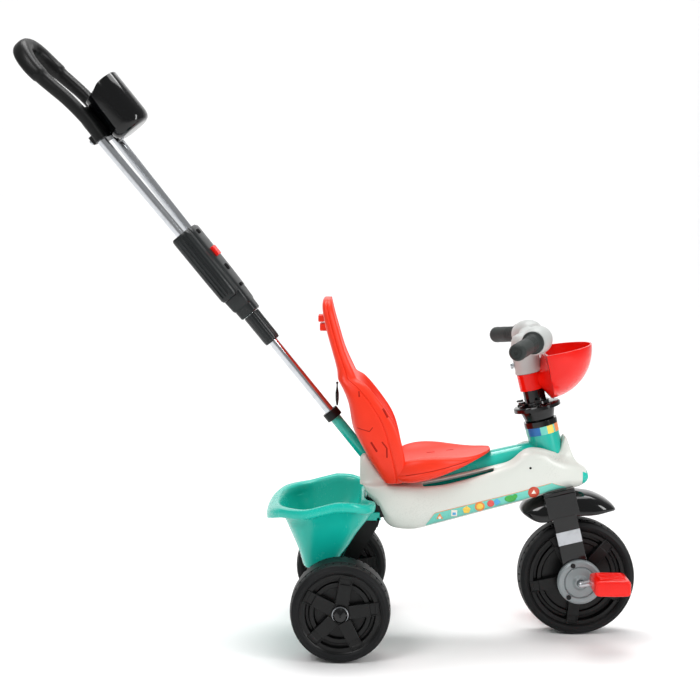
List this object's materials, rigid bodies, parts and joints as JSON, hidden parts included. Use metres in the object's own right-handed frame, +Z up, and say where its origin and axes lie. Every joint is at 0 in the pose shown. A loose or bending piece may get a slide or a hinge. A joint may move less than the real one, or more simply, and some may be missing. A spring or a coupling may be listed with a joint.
{
  "type": "children's tricycle",
  "caption": "Push-along children's tricycle with moulded seat, steering front wheel with pedals, front basket, tipping rear bucket and a parent's bar with a cup holder.",
  "frame": {"origin": "on the floor, in the middle of the tricycle's length and width", "axes": "+X the way it rides, +Y to the rider's left, +Z up"},
  "size_m": [1.0218, 0.403, 0.9915],
  "materials": {
    "teal_paint": "gloss powder coat",
    "teal_plastic": "gloss moulded",
    "orange_plastic": "satin blow moulded",
    "red_plastic": "gloss moulded",
    "white_plastic": "satin moulded",
    "black_plastic": "gloss moulded",
    "black_matte": "fine textured",
    "grey_plastic": "satin moulded",
    "hub_grey": "silver painted",
    "grip_rubber": "matte ribbed",
    "wheel_plastic": "satin moulded",
    "tread": "matte moulded",
    "chrome_tube": "polished plated",
    "zinc_steel": "zinc plated",
    "nylon": "natural nylon"
  },
  "bodies": {
    "frame": {"main_tube": "teal_paint", "bar_socket": "teal_paint", "head_tube": "teal_paint", "head_bush_upper": "black_plastic", "head_bush_lower": "black_plastic", "rear_bracket": "black_plastic", "rear_axle": "zinc_steel", "axle_dome_nuts": "black_plastic", "axle_washers": "zinc_steel", "body_shell_left": "white_plastic", "body_shell_right": "white_plastic", "shell_screws": "zinc_steel", "nose_window": "teal_plastic", "seat_base": "orange_plastic", "seat_back": "orange_plastic", "seat_bolts": "zinc_steel", "bucket_hinge_pin": "zinc_steel", "bar_collar": "black_matte"},
    "collar_pull": {"collar_lever": "black_matte"},
    "steering": {"steering_column": "black_plastic", "steering_flange": "black_plastic", "fork_crown": "black_plastic", "fork_leg_left": "black_plastic", "fork_leg_right": "black_plastic", "fork_band_left": "zinc_steel", "fork_band_right": "zinc_steel", "hub_cover_left": "hub_grey", "hub_cover_right": "hub_grey", "hub_cover_screws_left": "zinc_steel", "hub_cover_screws_right": "zinc_steel", "mudguard": "black_plastic", "handlebar": "grey_plastic", "stem_bolt": "zinc_steel", "grip_left": "grip_rubber", "grip_right": "grip_rubber", "front_basket": "red_plastic"},
    "front_wheel": {"front_tyre": "tread", "front_rim": "wheel_plastic", "crank_rod": "zinc_steel"},
    "pedal_left": {"pedal_left": "red_plastic"},
    "pedal_right": {"pedal_right": "red_plastic"},
    "rear_wheel_left": {"rear_tyre_left": "tread", "rear_rim_left": "wheel_plastic", "rear_bush_left": "nylon"},
    "rear_wheel_right": {"rear_tyre_right": "tread", "rear_rim_right": "wheel_plastic", "rear_bush_right": "nylon"},
    "bucket": {"bucket": "teal_plastic"},
    "bar_lower": {"lower_tube": "chrome_tube"},
    "bar_upper": {"lower_sleeve": "black_matte", "coupling": "black_matte", "upper_tube_left": "chrome_tube", "upper_tube_right": "chrome_tube", "push_handle": "black_matte", "cup_holder": "black_plastic", "cup_screws": "zinc_steel"},
    "height_button": {"height_button": "red_plastic"}
  },
  "joints": [
    {"name": "steering_turn", "type": "hinge", "parent": "frame", "child": "steering", "pos_m": [0.41338, 0, 0.0975], "axis": [-0.23, 0, 0.9732], "range_deg": [-40, 40]},
    {"name": "front_wheel_spin", "type": "hinge", "parent": "steering", "child": "front_wheel", "pos_m": [0.41338, 0, 0.0975], "axis": [0, 1, 0], "continuous": true},
    {"name": "pedal_left_spin", "type": "hinge", "parent": "front_wheel", "child": "pedal_left", "pos_m": [0.3725, 0, 0.08784], "axis": [0, 1, 0], "continuous": true},
    {"name": "pedal_right_spin", "type": "hinge", "parent": "front_wheel", "child": "pedal_right", "pos_m": [0.45425, 0, 0.10716], "axis": [0, 1, 0], "continuous": true},
    {"name": "rear_wheel_left_spin", "type": "hinge", "parent": "frame", "child": "rear_wheel_left", "pos_m": [0.01738, 0.156, 0.08], "axis": [0, 1, 0], "continuous": true},
    {"name": "rear_wheel_right_spin", "type": "hinge", "parent": "frame", "child": "rear_wheel_right", "pos_m": [0.01738, -0.156, 0.08], "axis": [0, 1, 0], "continuous": true},
    {"name": "bucket_tip", "type": "hinge", "parent": "frame", "child": "bucket", "pos_m": [0.01338, 0, 0.116], "axis": [0, -1, 0], "range_deg": [0, 45]},
    {"name": "bar_turn", "type": "hinge", "parent": "frame", "child": "bar_lower", "pos_m": [0.00338, 0, 0.371], "axis": [-0.6266, 0, 0.7793], "range_deg": [-30, 50]},
    {"name": "bar_height", "type": "slide", "parent": "bar_lower", "child": "bar_upper", "axis": [-0.6266, 0, 0.7793], "range_m": [-0.12, 0]},
    {"name": "height_button_press", "type": "slide", "parent": "bar_upper", "child": "height_button", "axis": [-0.7609, 0.2164, -0.6118], "range_m": [0, 0.004], "stiffness_N_per_m": 300},
    {"name": "collar_lever_pull", "type": "slide", "parent": "frame", "child": "collar_pull", "axis": [0, 0, 1], "range_m": [0, 0.006], "stiffness_N_per_m": 400}
  ]
}
